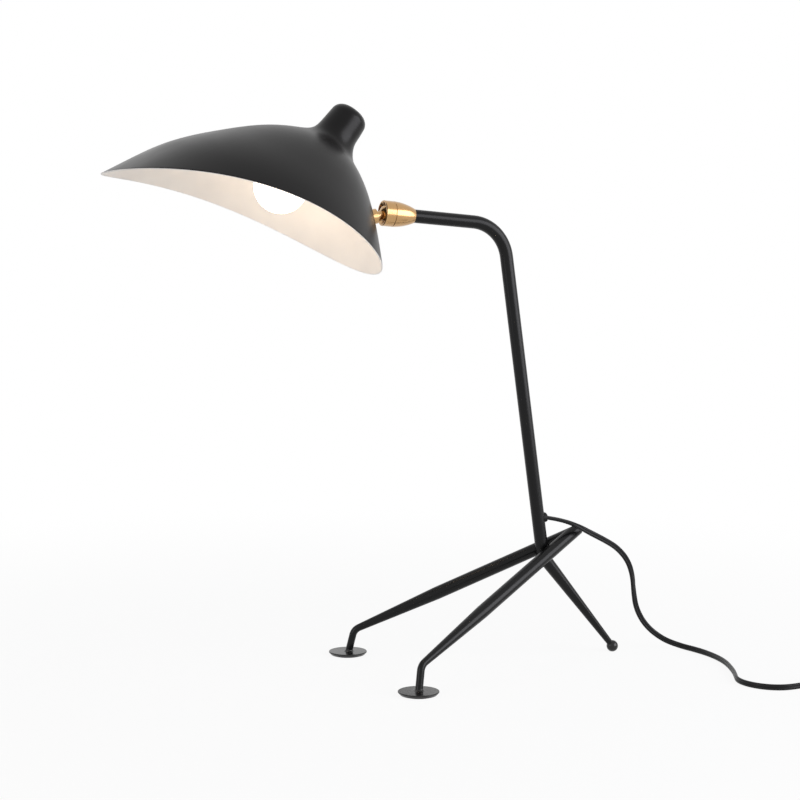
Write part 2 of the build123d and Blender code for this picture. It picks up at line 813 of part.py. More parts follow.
def switch_block():
    RectangleRounded(switch_length, switch_width, switch_corner)


with BuildPart() as switch_base:
    with BuildSketch(Plane((switch_middle, switch_y, 0))):
        switch_block()
    extrude(amount=parting)
    with BuildSketch(Plane((switch_middle, switch_y, switch_wall))):
        Rectangle(cavity_length, switch_channel)
    extrude(amount=parting, mode=Mode.SUBTRACT)
    with BuildSketch(Plane((switch_middle, switch_y, switch_wall))):
        Rectangle(contact_size[1], contact_size[1])
    extrude(amount=contact_height - switch_wall)
    for mouth in (switch_x, switch_end - cord_seat_depth):
        with BuildSketch(Plane((mouth, switch_y, coil_height), z_dir=(1, 0, 0))):
            Circle(cord_room)
        extrude(amount=cord_seat_depth, mode=Mode.SUBTRACT)
    with Locations([(x, y, 0) for x, y in screw_places]):
        Cylinder(
            screw_diameter / 2 + press_gap,
            parting,
            align=(Align.CENTER, Align.CENTER, Align.MIN),
            mode=Mode.SUBTRACT,
        )
        Cylinder(
            screw_head_diameter / 2 + press_gap,
            screw_recess + screw_head_height,
            align=(Align.CENTER, Align.CENTER, Align.MIN),
            mode=Mode.SUBTRACT,
        )
finish(switch_base, "switch_base")

with BuildPart() as switch_cover:
    with BuildSketch(Plane((switch_middle, switch_y, parting))):
        switch_block()
    extrude(amount=switch_height - parting)
    fillet(switch_cover.faces().sort_by(Axis.Z)[-1].edges(), switch_wall)
    with BuildSketch(Plane((switch_middle, switch_y, parting))):
        Rectangle(cavity_length, switch_channel)
    extrude(amount=switch_height - parting - switch_wall, mode=Mode.SUBTRACT)
    with BuildSketch(Plane((switch_middle, switch_y, parting))):
        Rectangle(switch_window, switch_channel)
    extrude(amount=switch_height, mode=Mode.SUBTRACT)
    for mouth in (switch_x, switch_end - cord_seat_depth):
        with BuildSketch(Plane((mouth, switch_y, coil_height), z_dir=(1, 0, 0))):
            Circle(cord_room)
        extrude(amount=cord_seat_depth, mode=Mode.SUBTRACT)
    with Locations(Plane((switch_middle, switch_y, rocker_axis_height), z_dir=(0, 1, 0))):
        Cylinder(pivot_diameter / 2 + press_gap, pivot_length + 2 * press_gap, mode=Mode.SUBTRACT)
    with Locations([(x, y, parting) for x, y in screw_places]):
        Cylinder(
            screw_diameter / 2 + press_gap,
            screw_recess + screw_head_height + screw_length - parting + press_gap,
            align=(Align.CENTER, Align.CENTER, Align.MIN),
            mode=Mode.SUBTRACT,
        )
finish(switch_cover, "switch_cover")

rocker_pivot = Vector(switch_middle, switch_y, rocker_axis_height)
rocker_along = Vector(cos(radians(rocker_angle)), 0, sin(radians(rocker_angle)))
with BuildPart() as switch_rocker:
    with BuildSketch(Plane(rocker_pivot, x_dir=rocker_along, z_dir=(0, -1, 0))):
        with BuildLine():
            Polyline(
                (-rocker_length / 2, -rocker_drop),
                (rocker_length / 2, -rocker_drop),
                (rocker_length / 2, rocker_end_rise),
            )
            ThreePointArc(
                (rocker_length / 2, rocker_end_rise),
                (0, rocker_waist_rise),
                (-rocker_length / 2, rocker_end_rise),
            )
            Line((-rocker_length / 2, rocker_end_rise), (-rocker_length / 2, -rocker_drop))
        make_face()
        Circle(pivot_diameter / 2 + press_gap, mode=Mode.SUBTRACT)
    extrude(amount=switch_channel / 2 - rocker_side_gap, both=True)
finish(switch_rocker, "switch_rocker")

with BuildPart() as switch_pivot:
    with Locations(Plane((switch_middle, switch_y, rocker_axis_height), z_dir=(0, 1, 0))):
        Cylinder(pivot_diameter / 2, pivot_length)
finish(switch_pivot, "switch_pivot")

with BuildPart(Plane((switch_middle, switch_y, contact_height))) as switch_contact:
    Box(*contact_size, align=(Align.CENTER, Align.CENTER, Align.MIN))
finish(switch_contact, "switch_contact")

with BuildPart() as switch_screws:
    with Locations([(x, y, screw_recess) for x, y in screw_places]):
        Cylinder(
            screw_head_diameter / 2,
            screw_head_height,
            align=(Align.CENTER, Align.CENTER, Align.MIN),
        )
        Cylinder(
            screw_diameter / 2,
            screw_head_height + screw_length,
            align=(Align.CENTER, Align.CENTER, Align.MIN),
        )
finish(switch_screws, "switch_screws")

# Coil: half turns whose radius changes by half a pitch, with the climb in the half turn at the core
coil_x = switch_end + coil_lead
coil_pitch = cord_diameter + coil_gap
coil_inner_radius = coil_outer_radius - coil_turns * coil_pitch
coil_start = Vector(switch_end - cord_seat_depth, switch_y, coil_height)
coil_end_y = switch_y - 2 * coil_outer_radius
with BuildPart() as cord_coil:
    with BuildLine() as coil_path:
        Line(coil_start, (coil_x, switch_y, coil_height))
        y = switch_y
        for half_turn in range(2 * coil_turns):
            radius = coil_outer_radius - half_turn * coil_pitch / 2
            way = 1 if half_turn % 2 == 0 else -1
            ThreePointArc(
                (coil_x, y, coil_height),
                (coil_x + way * radius, y - way * radius, coil_height),
                (coil_x, y - way * 2 * radius, coil_height),
            )
            y -= way * 2 * radius
        climb_reach = sqrt(coil_inner_radius**2 + (coil_layer_step / 2) ** 2)
        climb_middle = (coil_x + climb_reach, y - coil_inner_radius, coil_height + coil_layer_step / 2)
        rise = TangentArc((coil_x, y, coil_height), climb_middle, tangent=(1, 0, 0))
        y -= 2 * coil_inner_radius
        TangentArc(climb_middle, (coil_x, y, coil_top_height), tangent=rise % 1)
        for half_turn in range(2 * coil_turns):
            radius = coil_inner_radius + (half_turn + 1) * coil_pitch / 2
            way = -1 if half_turn % 2 == 0 else 1
            ThreePointArc(
                (coil_x, y, coil_top_height),
                (coil_x + way * radius, y - way * radius, coil_top_height),
                (coil_x, y - way * 2 * radius, coil_top_height),
            )
            y -= way * 2 * radius
        Line((coil_x, coil_end_y, coil_top_height), (coil_x - coil_tail, coil_end_y, coil_top_height))
    with BuildSketch(Plane(coil_start, z_dir=(1, 0, 0))):
        Circle(cord_radius)
    sweep()
finish(cord_coil, "cord_coil")
report_tube("cord_coil", cord_coil, coil_path.line, cord_diameter)

coil_wire = coil_path.line.wires()[0]
coil_samples = 700
coil_step = coil_wire.length / coil_samples
coil_points = [coil_wire.position_at(n / coil_samples) for n in range(coil_samples + 1)]
near_steps = int(3 * cord_diameter / coil_step)
least = min(
    (coil_points[i] - coil_points[j]).length
    for i in range(len(coil_points))
    for j in range(i + near_steps, len(coil_points))
)
print("cord_coil least gap", round(least - cord_diameter, 2))

# Tie round the turns at the far side of the coil
tie_inner = coil_inner_radius - cord_radius - tie_play
tie_outer = coil_outer_radius + cord_radius + tie_play
tie_top = coil_top_height + cord_radius + tie_play + tie_thickness
with BuildPart() as coil_tie:
    with BuildSketch(Plane((coil_x, switch_y - coil_outer_radius, 0), z_dir=(0, -1, 0), x_dir=(1, 0, 0))):
        with Locations(((tie_inner + tie_outer) / 2, tie_top / 2)):
            RectangleRounded(tie_outer - tie_inner + 2 * tie_thickness, tie_top, cord_radius)
            RectangleRounded(
                tie_outer - tie_inner,
                tie_top - 2 * tie_thickness,
                cord_radius - tie_thickness,
                mode=Mode.SUBTRACT,
            )
    extrude(amount=tie_width / 2, both=True)
finish(coil_tie, "coil_tie")

# Plug: tapered relief, moulded body and two round pins
relief_start = coil_x - coil_tail + cord_seat_depth
plug_start = relief_start - plug_relief_length
plug_face = plug_start - plug_length
with BuildPart() as plug_relief:
    with BuildSketch(Plane((relief_start, coil_end_y, coil_top_height), z_dir=(-1, 0, 0))):
        Circle(plug_relief_tip / 2)
    with BuildSketch(Plane((plug_start, coil_end_y, coil_top_height), z_dir=(-1, 0, 0))):
        Circle(plug_relief_root / 2)
    loft()
    with BuildSketch(Plane((relief_start, coil_end_y, coil_top_height), z_dir=(-1, 0, 0))):
        Circle(cord_room)
    extrude(amount=cord_seat_depth, mode=Mode.SUBTRACT)
finish(plug_relief, "plug_relief")

pin_places = [(plug_face, coil_end_y + side * pin_spacing / 2, coil_top_height) for side in (-1, 1)]
with BuildPart() as plug_pins:
    for pin_place in pin_places:
        with Locations(Plane(pin_place, z_dir=(-1, 0, 0)).offset(-pin_seat)):
            Cylinder(
                pin_diameter / 2,
                pin_seat + pin_length,
                align=(Align.CENTER, Align.CENTER, Align.MIN),
            )
    fillet(plug_pins.faces().group_by(Axis.X)[0].edges(), pin_diameter / 4)
finish(plug_pins, "plug_pins")

with BuildPart() as plug_body:
    with BuildSketch(Plane((plug_start, coil_end_y, coil_top_height), z_dir=(-1, 0, 0), x_dir=(0, 1, 0))):
        RectangleRounded(plug_width, plug_thickness, plug_edge)
    extrude(amount=plug_length)
    fillet(plug_body.faces().sort_by(Axis.X)[-1].edges(), plug_edge / 2)
    add(plug_pins.part, mode=Mode.SUBTRACT)
finish(plug_body, "plug_body")
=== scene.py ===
import bmesh
import bpy
import json
import math
import numpy as np
from mathutils import Matrix, Vector


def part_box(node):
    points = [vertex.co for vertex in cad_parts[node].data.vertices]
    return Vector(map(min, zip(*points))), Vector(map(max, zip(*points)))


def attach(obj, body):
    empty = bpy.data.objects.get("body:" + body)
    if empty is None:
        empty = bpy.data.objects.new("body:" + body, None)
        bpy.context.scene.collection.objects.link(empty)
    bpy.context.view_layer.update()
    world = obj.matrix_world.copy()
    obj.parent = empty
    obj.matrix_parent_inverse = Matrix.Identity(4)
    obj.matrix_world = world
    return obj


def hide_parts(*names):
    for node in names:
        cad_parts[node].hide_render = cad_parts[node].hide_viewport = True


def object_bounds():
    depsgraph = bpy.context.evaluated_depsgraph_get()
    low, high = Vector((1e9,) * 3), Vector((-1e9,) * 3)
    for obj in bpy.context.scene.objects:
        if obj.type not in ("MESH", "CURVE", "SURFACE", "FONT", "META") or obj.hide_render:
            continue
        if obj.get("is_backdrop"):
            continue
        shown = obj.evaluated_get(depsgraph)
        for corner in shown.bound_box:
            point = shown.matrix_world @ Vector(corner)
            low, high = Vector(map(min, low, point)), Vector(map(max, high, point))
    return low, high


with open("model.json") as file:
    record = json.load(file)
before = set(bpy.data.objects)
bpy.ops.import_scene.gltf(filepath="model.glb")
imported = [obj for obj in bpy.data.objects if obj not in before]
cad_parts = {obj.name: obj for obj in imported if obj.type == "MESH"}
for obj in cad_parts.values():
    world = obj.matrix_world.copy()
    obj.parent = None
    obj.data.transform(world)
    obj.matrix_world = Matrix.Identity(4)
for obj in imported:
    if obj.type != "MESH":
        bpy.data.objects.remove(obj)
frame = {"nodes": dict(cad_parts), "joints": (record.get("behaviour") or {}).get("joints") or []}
nodes = frame["nodes"]
joints = {joint["name"]: joint for joint in frame["joints"]}
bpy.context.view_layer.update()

# Studio: a pale board that runs out of sight, a white room and two soft boxes.
# The board keeps the lamp's shadow near it and turns into the white room further out.
scene = bpy.context.scene
scene.view_settings.view_transform = "Standard"
room_fill = 0.30
room_tint = (0.96, 0.98, 1.0)
board_size = 14.0
board_grey = 0.93
board_glow = 0.92
shadow_reach = (0.2, 1.1)
cool_white = (0.95, 0.95, 1.0)
soft_boxes = {
    "left_box": {"power": 5.0, "size": (0.5, 1.0), "spot": (-1.6, -0.45, 0.55), "aim": (0.0, 0.0, 0.4)},
    "right_box": {"power": 28.0, "size": (1.6, 1.3), "spot": (1.24, -1.26, 0.74), "aim": (0.0, 0.0, 0.45)},
}


def seen_directly(tree):
    """1 for rays that carry a picture of the room, from the camera, a gloss or a glass."""
    rays = tree.nodes.new("ShaderNodeLightPath")
    total = rays.outputs["Is Camera Ray"]
    for kind in ("Is Glossy Ray", "Is Transmission Ray"):
        add = tree.nodes.new("ShaderNodeMath")
        add.use_clamp = True
        tree.links.new(total, add.inputs[0])
        tree.links.new(rays.outputs[kind], add.inputs[1])
        total = add.outputs[0]
    return total


room = bpy.data.worlds.new("white_room")
scene.world = room
room.use_nodes = True
tree = room.node_tree
fill = tree.nodes["Background"]
fill.inputs["Color"].default_value = (*room_tint, 1.0)
fill.inputs["Strength"].default_value = room_fill
white = tree.nodes.new("ShaderNodeBackground")
white.inputs["Color"].default_value = (1.0, 1.0, 1.0, 1.0)
either = tree.nodes.new("ShaderNodeMixShader")
tree.links.new(seen_directly(tree), either.inputs["Fac"])
tree.links.new(fill.outputs[0], either.inputs[1])
tree.links.new(white.outputs[0], either.inputs[2])
tree.links.new(either.outputs[0], tree.nodes["World Output"].inputs["Surface"])

board_mesh = bpy.data.meshes.new("board")
half = board_size / 2
corners = [(-half, -half, 0), (half, -half, 0), (half, half, 0), (-half, half, 0)]
board_mesh.from_pydata(corners, [], [(0, 1, 2, 3)])
board = bpy.data.objects.new("board", board_mesh)
scene.collection.objects.link(board)
board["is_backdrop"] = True
board_paint = bpy.data.materials.new("board_paint")
board_paint.use_nodes = True
board_mesh.materials.append(board_paint)
tree = board_paint.node_tree
tree.nodes.remove(tree.nodes["Principled BSDF"])
matt = tree.nodes.new("ShaderNodeBsdfDiffuse")
matt.inputs["Color"].default_value = (board_grey, board_grey, board_grey, 1.0)
glow = tree.nodes.new("ShaderNodeEmission")
distance = tree.nodes.new("ShaderNodeVectorMath")
distance.operation = "LENGTH"
place = tree.nodes.new("ShaderNodeTexCoord")
tree.links.new(place.outputs["Object"], distance.inputs[0])
fade = tree.nodes.new("ShaderNodeMapRange")
fade.interpolation_type = "SMOOTHSTEP"
fade.inputs["From Min"].default_value = shadow_reach[0]
fade.inputs["From Max"].default_value = shadow_reach[1]
fade.inputs["To Min"].default_value = board_glow
tree.links.new(distance.outputs["Value"], fade.inputs["Value"])
share = tree.nodes.new("ShaderNodeMath")
share.operation = "MULTIPLY"
tree.links.new(fade.outputs["Result"], share.inputs[0])
tree.links.new(seen_directly(tree), share.inputs[1])
either = tree.nodes.new("ShaderNodeMixShader")
tree.links.new(share.outputs[0], either.inputs["Fac"])
tree.links.new(matt.outputs[0], either.inputs[1])
tree.links.new(glow.outputs[0], either.inputs[2])
tree.links.new(either.outputs[0], tree.nodes["Material Output"].inputs["Surface"])

for name, box in soft_boxes.items():
    lamp = bpy.data.lights.new(name, "AREA")
    lamp.shape = "RECTANGLE"
    lamp.size, lamp.size_y = box["size"]
    lamp.energy = box["power"]
    lamp.color = cool_white
    soft_box = bpy.data.objects.new(name, lamp)
    scene.collection.objects.link(soft_box)
    soft_box.location = box["spot"]
    soft_box.rotation_mode = "QUATERNION"
    soft_box.rotation_quaternion = (Vector(box["aim"]) - Vector(box["spot"])).to_track_quat("-Z", "Y")

# Camera: a long lens about a metre and a half away, a little above the middle of the lamp.
# It looks slightly down, from the side that has the shade point to the left.
camera_spot = (-0.5586, -1.3696, 0.3533)
camera_heading = math.radians(22.84)
camera_pitch = math.radians(4.43)
camera_lens = 77.78
film_width = 36.0
camera = bpy.data.objects.new("camera", bpy.data.cameras.new("camera"))
scene.collection.objects.link(camera)
camera.data.sensor_width = film_width
camera.data.lens = camera_lens
camera.location = camera_spot
level = math.cos(camera_pitch)
aim = Vector((math.sin(camera_heading) * level, math.cos(camera_heading) * level, -math.sin(camera_pitch)))
camera.rotation_mode = "QUATERNION"
camera.rotation_quaternion = aim.to_track_quat("-Z", "Y")
scene.camera = camera

# Stand: bent stem tube, rear leg and the two front legs, brazed together and stove enamelled
# in one satin black. The film is even, with a faint orange peel and slightly duller patches.
enamel_black = (0.0045, 0.0045, 0.0048)
patch_scale = 26.0
patch_detail = 3.0
patch_span = (0.3, 0.7)
patch_dulling = 0.035
patch_tint = 0.1
peel_scale = 1100.0
peel_detail = 1.0
peel_strength = 0.35


def noise_over(tree, scale, detail):
    """Noise spread through the space of the piece, in waves per metre."""
    place = tree.nodes.new("ShaderNodeTexCoord")
    noise = tree.nodes.new("ShaderNodeTexNoise")
    noise.inputs["Scale"].default_value = scale
    noise.inputs["Detail"].default_value = detail
    tree.links.new(place.outputs["Object"], noise.inputs["Vector"])
    return noise.outputs["Fac"]


def vary_gloss(tree, noise, low, high, span=(0.0, 1.0)):
    """Let the roughness follow a noise from low to high, over the given span of the noise."""
    dull = tree.nodes.new("ShaderNodeMapRange")
    dull.inputs["From Min"].default_value = span[0]
    dull.inputs["From Max"].default_value = span[1]
    dull.inputs["To Min"].default_value = low
    dull.inputs["To Max"].default_value = high
    tree.links.new(noise, dull.inputs["Value"])
    tree.links.new(dull.outputs["Result"], tree.nodes["Principled BSDF"].inputs["Roughness"])


def vary_colour(tree, noise, first, second, socket="Base Color"):
    """Let a colour of the finish follow a noise from the first colour to the second."""
    tint = tree.nodes.new("ShaderNodeMix")
    tint.data_type = "RGBA"
    tint.inputs["A"].default_value = (*first, 1.0)
    tint.inputs["B"].default_value = (*second, 1.0)
    tree.links.new(noise, tint.inputs["Factor"])
    tree.links.new(tint.outputs["Result"], tree.nodes["Principled BSDF"].inputs[socket])


def raise_skin(tree, noise, strength, height):
    """Let a noise raise a fine relief of the given height in metres."""
    bump = tree.nodes.new("ShaderNodeBump")
    bump.inputs["Strength"].default_value = strength
    bump.inputs["Distance"].default_value = height
    tree.links.new(noise, bump.inputs["Height"])
    tree.links.new(bump.outputs["Normal"], tree.nodes["Principled BSDF"].inputs["Normal"])


def shades_of(colour, spread):
    """The colour made darker and made paler by the given share."""
    return [part * (1 - spread) for part in colour], [min(1.0, part * (1 + spread)) for part in colour]


def enamel(name, colour, roughness, specular, peel):
    """Stove enamel: roughness that drifts a little, and an orange peel of the given height in metres."""
    paint = bpy.data.materials.new(name)
    paint.use_nodes = True
    tree = paint.node_tree
    tree.nodes["Principled BSDF"].inputs["Specular IOR Level"].default_value = specular
    patches = noise_over(tree, patch_scale, patch_detail)
    vary_gloss(tree, patches, roughness - patch_dulling, roughness + patch_dulling, patch_span)
    vary_colour(tree, patches, *shades_of(colour, patch_tint))
    raise_skin(tree, noise_over(tree, peel_scale, peel_detail), peel_strength, peel)
    return paint


def dress(finish, *names):
    """Give a finish to the named pieces."""
    for name in names:
        for slot in nodes[name].material_slots:
            slot.material = finish


stand_enamel = enamel("stand_enamel", enamel_black, roughness=0.26, specular=0.2, peel=0.00006)
dress(stand_enamel, "stem_tube", "rear_leg", "left_leg", "right_leg")

# Feet: turned steel discs with an undercut edge, enamelled like the legs that are welded to them,
# on thin glued pads. The rear leg ends in a small ball of the same black.
foot_black = (0.006, 0.0055, 0.0055)
foot_enamel = enamel("foot_enamel", foot_black, roughness=0.24, specular=0.38, peel=0.00004)
dress(foot_enamel, "left_foot_disc", "right_foot_disc", "ball_foot")

# Welds: a dressed fillet where each bent ankle stands on its disc, under the same enamel.
# Each is a ring that leans with its ankle and is sunk a little into the steel on both sides.
ankle_radius = 0.00325
weld_throat = 0.0018
weld_sunk = 0.0003
weld_columns = 40
weld_rows = 7
knee_place = (0.0052, 0.0765, 0.0236)
foot_place = (0.0008, 0.0810)
for side_name in ("left", "right"):
    disc_low, disc_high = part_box(side_name + "_foot_disc")
    side = math.copysign(1.0, disc_low.y + disc_high.y)
    foot = np.array((foot_place[0], side * foot_place[1], 0.0))
    climb = np.array((knee_place[0], side * knee_place[1], knee_place[2])) - foot
    climb /= climb[2]
    profile = [(ankle_radius - weld_sunk, -weld_sunk), (ankle_radius + weld_throat, -weld_sunk)]
    for angle in np.linspace(0.0, math.pi / 2, weld_rows):
        profile.append((
            ankle_radius + weld_throat * (1 - math.sin(angle)),
            weld_throat * (1 - math.cos(angle)),
        ))
    profile.append((ankle_radius - weld_sunk, weld_throat))
    points = []
    faces = []
    for radius, height in profile:
        for column in range(weld_columns):
            angle = 2 * math.pi * column / weld_columns
            around = np.array((radius * math.cos(angle), radius * math.sin(angle), 0.0))
            points.append(tuple(foot + climb * (disc_high.z + height) + around))
    for row in range(len(profile)):
        below = row * weld_columns
        above = (row + 1) % len(profile) * weld_columns
        for column in range(weld_columns):
            after = (column + 1) % weld_columns
            faces.append((below + column, below + after, above + after, above + column))
    weld_mesh = bpy.data.meshes.new(side_name + "_foot_weld")
    weld_mesh.from_pydata(points, [], faces)
    weld_mesh.materials.append(foot_enamel)
    weld_mesh.shade_smooth()
    weld = bpy.data.objects.new(side_name + "_foot_weld", weld_mesh)
    scene.collection.objects.link(weld)
    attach(weld, "stand")

# Foot pads: thin black rubber discs, moulded with a fine grain and glued under the front feet.
# They keep the steel off the table and the lamp from sliding.
pad_black = (0.022, 0.022, 0.022)
grain_detail = 2.0
grain_dulling = 0.06
grain_tint = 0.12
grain_strength = 0.5


def moulded(name, colour, roughness, grain, grain_size, specular=0.2):
    """Moulded rubber or plastic: a fine spark-eroded grain, of the given height and size in metres."""
    stuff = bpy.data.materials.new(name)
    stuff.use_nodes = True
    tree = stuff.node_tree
    tree.nodes["Principled BSDF"].inputs["Specular IOR Level"].default_value = specular
    cells = noise_over(tree, 1.0 / grain_size, grain_detail)
    vary_gloss(tree, cells, roughness - grain_dulling, roughness + grain_dulling)
    vary_colour(tree, cells, *shades_of(colour, grain_tint))
    raise_skin(tree, cells, grain_strength, grain)
    return stuff


pad_rubber = moulded("pad_rubber", pad_black, roughness=0.75, grain=0.00008, grain_size=0.0006)
dress(pad_rubber, "left_foot_pad", "right_foot_pad")

# Swivel: brass cup on the arm, collar, ball stud, washers and nut, all turned on a lathe and
# lacquered. Fine tool marks run round each piece, so the gloss stretches along its axis.
# Behind the ball a nylon seat and a dished steel spring press on it and give it friction.
brass_pale = (0.56, 0.335, 0.145)
brass_deep = (0.45, 0.265, 0.105)
lacquer_share = 0.5
lacquer_roughness = 0.12
tool_pitch = 0.00035
tool_detail = 4.0
tool_depth = 0.00005
tool_strength = 0.4
tool_bright = 0.06
tool_dull = 0.08
tarnish_scale = 160.0
tarnish_detail = 4.0
nylon_white = (0.72, 0.71, 0.66)
scratch_scale = 900.0
scratch_detail = 5.0
scratch_dulling = 0.1
steel_blue_share = 0.98
ball = Vector(joints["swivel_tilt"]["pos_m"])
arm = Vector(joints["swivel_roll"]["axis"])
stud = Vector(joints["shade_turn"]["axis"])


def turned_brass(name, axis, roughness):
    """Brass turned about the given axis: rings of tool marks, and a tarnish that drifts."""
    metal = bpy.data.materials.new(name)
    metal.use_nodes = True
    tree = metal.node_tree
    shader = tree.nodes["Principled BSDF"]
    shader.inputs["Metallic"].default_value = 1.0
    shader.inputs["Coat Weight"].default_value = lacquer_share
    shader.inputs["Coat Roughness"].default_value = lacquer_roughness
    place = tree.nodes.new("ShaderNodeTexCoord")
    along = tree.nodes.new("ShaderNodeVectorMath")
    along.operation = "DOT_PRODUCT"
    along.inputs[1].default_value = axis
    tree.links.new(place.outputs["Object"], along.inputs[0])
    marks = tree.nodes.new("ShaderNodeTexNoise")
    marks.noise_dimensions = "1D"
    marks.inputs["Scale"].default_value = 1.0 / tool_pitch
    marks.inputs["Detail"].default_value = tool_detail
    tree.links.new(along.outputs["Value"], marks.inputs["W"])
    rings = marks.outputs["Fac"]
    raise_skin(tree, rings, tool_strength, tool_depth)
    vary_colour(tree, noise_over(tree, tarnish_scale, tarnish_detail), brass_deep, brass_pale)
    vary_gloss(tree, rings, roughness - tool_bright, roughness + tool_dull)
    return metal


cup_brass = turned_brass("cup_brass", arm, roughness=0.2)
stud_brass = turned_brass("stud_brass", stud, roughness=0.2)
seat_nylon = moulded("seat_nylon", nylon_white, roughness=0.45, grain=0.00003, grain_size=0.0004)
dress(cup_brass, "swivel_cup", "swivel_collar")
dress(stud_brass, "ball_stud", "stud_nut", "outer_washer", "inner_washer")
dress(seat_nylon, "ball_seat")


def bare_steel(name, grey, roughness):
    """Plain bright metal: fine random scratches in its gloss."""
    metal = bpy.data.materials.new(name)
    metal.use_nodes = True
    tree = metal.node_tree
    shader = tree.nodes["Principled BSDF"]
    shader.inputs["Metallic"].default_value = 1.0
    shader.inputs["Base Color"].default_value = (grey, grey, grey * steel_blue_share, 1.0)
    scratches = noise_over(tree, scratch_scale, scratch_detail)
    vary_gloss(tree, scratches, roughness - scratch_dulling, roughness + scratch_dulling)
    return metal


bright_steel = bare_steel("bright_steel", grey=0.66, roughness=0.28)
dress(bright_steel, "seat_spring")

# Shade: one shell spun and pressed from thin sheet, with a hollow nipple at the back of its top.
# It is enamelled satin black outside and warm white inside, and its rim is a plain rounded edge.
wall = 0.001
nipple_top = (-0.0329, 0.08505)
nipple_tilt = math.radians(37.8)
nipple_radii = (0.0162, 0.0174)
nipple_length = 0.0231
nipple_round = 0.009
front_profile = [
    (-0.0694, 0.0713),
    (-0.0897, 0.0712),
    (-0.1175, 0.0712),
    (-0.1543, 0.0655),
    (-0.1946, 0.0550),
    (-0.2438, 0.0309),
]
back_profile = [
    (-0.0354, 0.0444),
    (-0.0319, 0.0326),
    (-0.0256, 0.0164),
    (-0.0207, -0.0040),
    (-0.0173, -0.0263),
    (-0.0145, -0.0512),
]
half_widths = [0.0206, 0.0331, 0.0501, 0.0695, 0.0891, 0.1104]
section_share = [0.10, 0.22, 0.38, 0.57, 0.78, 1.0]
blunt_front = 0.12
rim_sagitta = 0.0215
rim_skirt = 0.006
stud_hole = 0.0041
wall_place = 0.021
drill_reach = 0.006
drill_segments = 48
shade_columns = 180
shade_rows = 90
dome_rows = 10
dome_start = 0.06
edge_rows = 4
rim_levels = 400
rim_trials = 2001
never_zero = 1e-9
outside_black = (0.0042, 0.0037, 0.0038)
inside_white = (0.93, 0.88, 0.83)


def spline_through(stations, values, shares):
    """Values of the natural cubic spline through the stations, at the given shares."""
    step = np.diff(stations)[:, None]
    rise = np.diff(values, axis=0) / step
    matrix = np.eye(len(stations))
    right = np.zeros_like(values)
    for i in range(1, len(stations) - 1):
        matrix[i, i - 1 : i + 2] = step[i - 1, 0], 2 * (step[i - 1, 0] + step[i, 0]), step[i, 0]
        right[i] = 6 * (rise[i] - rise[i - 1])
    bend = np.linalg.solve(matrix, right)
    span = np.clip(np.searchsorted(stations, shares) - 1, 0, len(stations) - 2)
    run = (shares - stations[span])[:, None]
    slope = rise[span] - step[span] * (2 * bend[span] + bend[span + 1]) / 6
    curl = (bend[span + 1] - bend[span]) / (6 * step[span])
    return values[span] + run * slope + run**2 * bend[span] / 2 + run**3 * curl


nipple_up = np.array((math.sin(nipple_tilt), math.cos(nipple_tilt)))
nipple_front = np.array((-math.cos(nipple_tilt), math.sin(nipple_tilt)))
pivot = np.array((ball.x, ball.z))


def nipple_ring(depth, radius):
    """Front point, back point, half width and bluntness of a round section of the nipple."""
    middle = pivot + np.array(nipple_top) - nipple_up * depth
    return (*(middle + nipple_front * radius), *(middle - nipple_front * radius), radius, 0.0)


cone_depths = (nipple_round, (nipple_round + nipple_length) / 2, nipple_length)
cone_radii = (nipple_radii[0], sum(nipple_radii) / 2, nipple_radii[1])
sections = [nipple_ring(depth, radius) for depth, radius in zip(cone_depths, cone_radii)]
for front, back, width, part in zip(front_profile, back_profile, half_widths, section_share):
    sections.append((*(pivot + front), *(pivot + back), width, part))
sections = np.array(sections)
last_run = sections[-1] - sections[-2]
sections = np.vstack([sections, sections[-1] + last_run * (rim_skirt / np.hypot(*last_run[:2]))])
gaps = np.diff(sections, axis=0)
lengths = (np.hypot(gaps[:, 0], gaps[:, 1]) + np.hypot(gaps[:, 2], gaps[:, 3])) / 2
stations = np.concatenate([[0.0], np.cumsum(lengths)])


def shade_points(section, turn):
    """Points of egg-shaped sections at the given turns round them, 0 at the front."""
    along = (1 - np.cos(turn)) / 2
    x = section[..., 0] + (section[..., 2] - section[..., 0]) * along
    z = section[..., 1] + (section[..., 3] - section[..., 1]) * along
    swell = np.maximum(along, never_zero) ** (-blunt_front * section[..., 5])
    return np.stack([x, section[..., 4] * np.sin(turn) * swell, z], axis=-1)


rim_tip = sections[-2, 0:2]
rim_back = sections[-2, 2:4]
chord = rim_back - rim_tip
chord_length = np.hypot(*chord)
rim_up = np.array((-chord[1], chord[0])) / chord_length
rim_radius = (chord_length**2 / 4 + rim_sagitta**2) / (2 * rim_sagitta)
rim_centre = (rim_tip + rim_back) / 2 + rim_up * (rim_sagitta - rim_radius)


def rim_share(turn):
    """How far down the shell each turn reaches the arc that trims the rim."""
    trial = np.linspace(stations[-4], stations[-1], rim_levels)
    points = shade_points(spline_through(stations, sections, trial)[:, None, :], turn[None, :])
    outside = np.hypot(points[..., 0] - rim_centre[0], points[..., 2] - rim_centre[1]) - rim_radius
    found = []
    for column in range(len(turn)):
        after = np.argmax(outside[:, column] < 0)
        before = after - 1
        drop = outside[before, column] - outside[after, column]
        part = outside[before, column] / drop
        found.append(trial[before] + part * (trial[after] - trial[before]))
    return np.array(found)


def shell_at(shares, turn):
    """Points of the outer face, each turn with its own list of shares."""
    section = spline_through(stations, sections, shares.ravel())
    return shade_points(section.reshape(*shares.shape, -1), turn[None, :])


